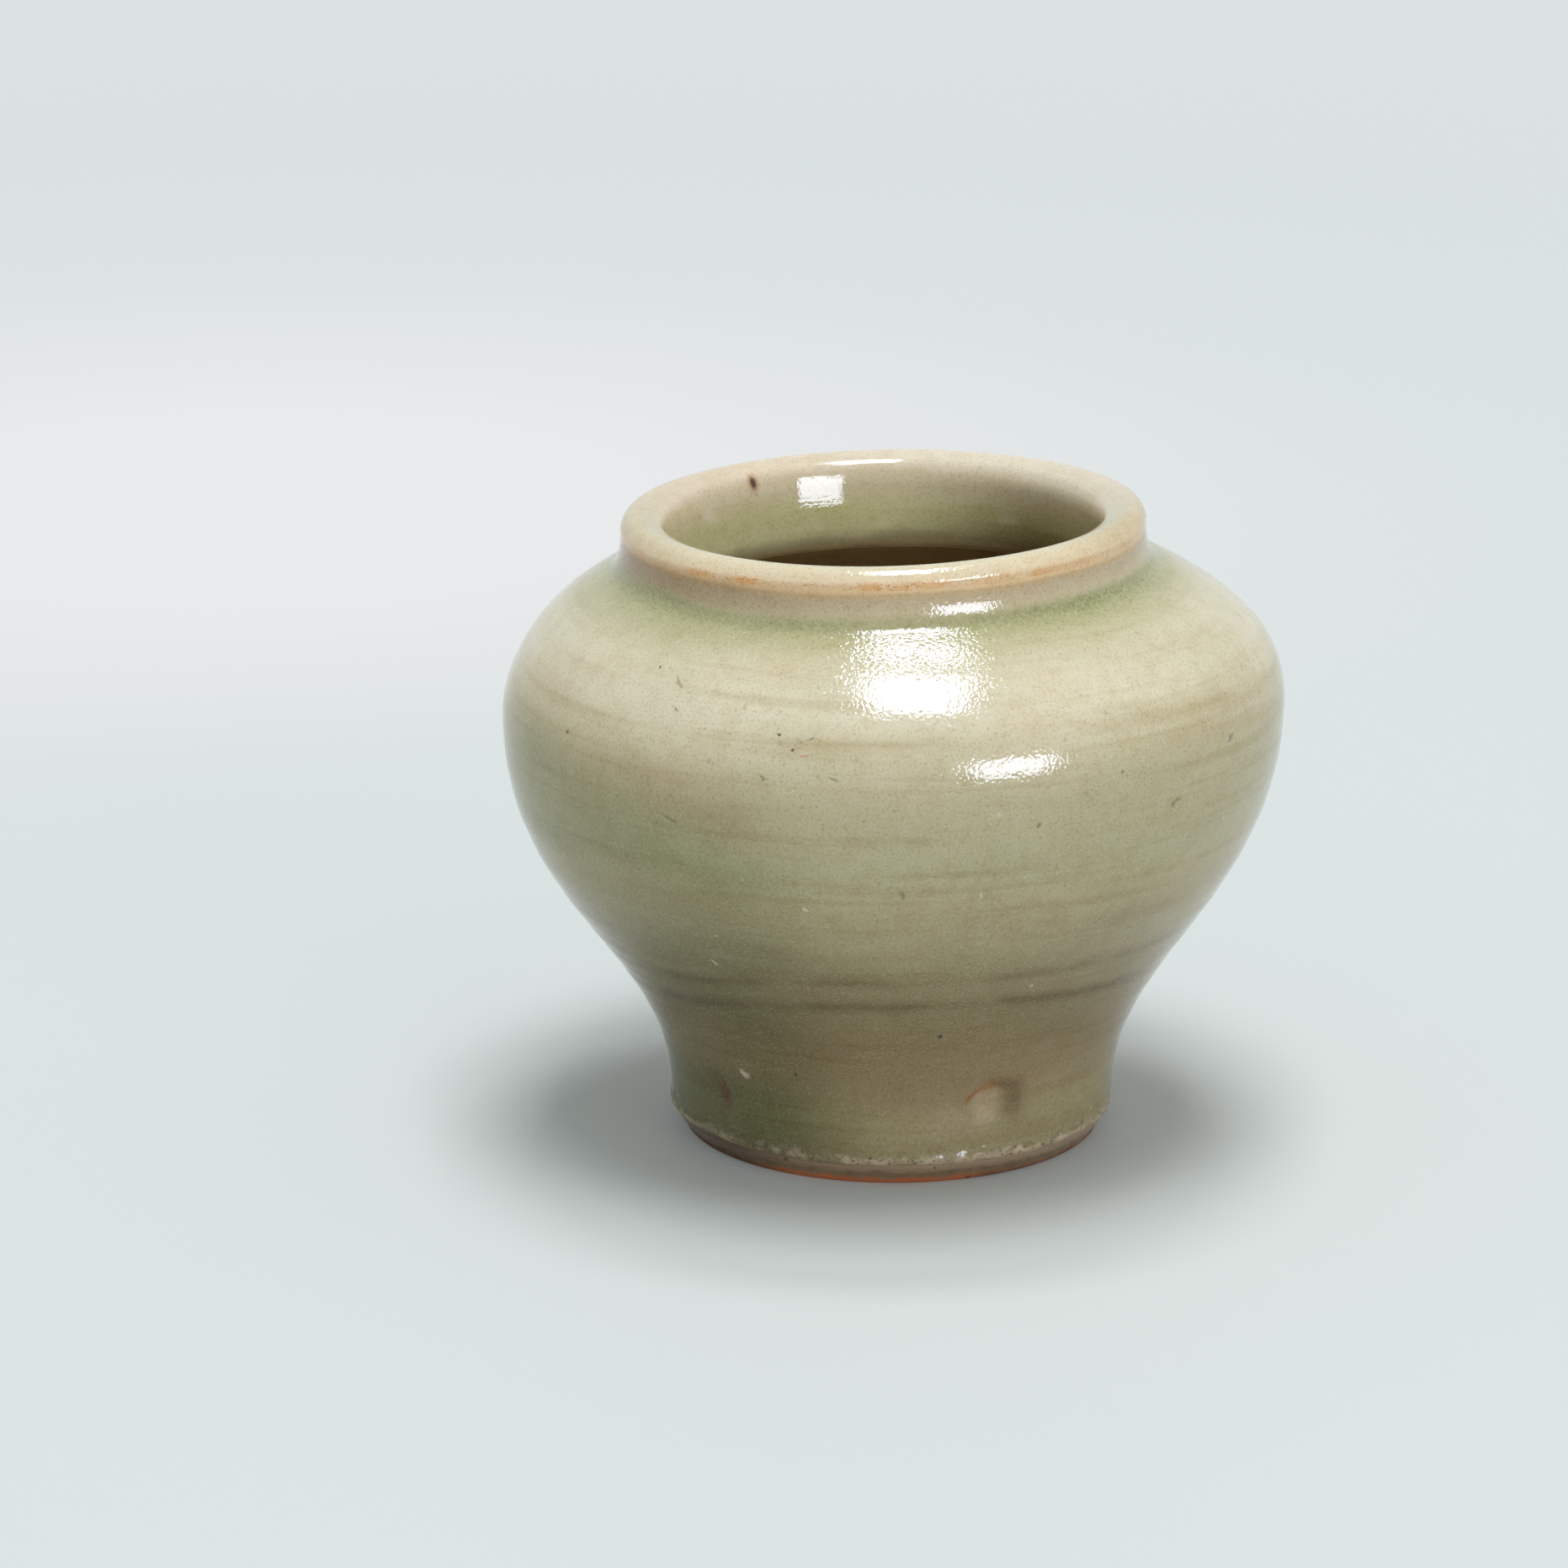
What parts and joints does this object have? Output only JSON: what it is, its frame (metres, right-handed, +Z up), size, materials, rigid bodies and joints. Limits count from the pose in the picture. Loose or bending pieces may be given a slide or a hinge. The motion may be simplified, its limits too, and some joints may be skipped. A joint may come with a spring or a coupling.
{
  "type": "small baluster jar",
  "caption": "Small thrown stoneware baluster jar: narrow foot, wide belly, round shoulder, short neck and rolled lip, under an olive celadon glaze.",
  "frame": {"origin": "centre of the plane that the foot ring rests on", "axes": "+Z up along the jar's axis, +X to the right as seen from the front, -Y towards the front"},
  "size_m": [0.0958, 0.0958, 0.0791],
  "materials": {
    "stoneware": "matt, burnt orange where bare",
    "celadon_outside": "gloss, olive green with paler shoulder",
    "celadon_inside": "gloss, cream on the lip and green in the throat"
  },
  "bodies": {
    "root": {"stoneware_body": "stoneware", "outside_glaze": "celadon_outside", "inside_glaze": "celadon_inside"}
  },
  "joints": []
}
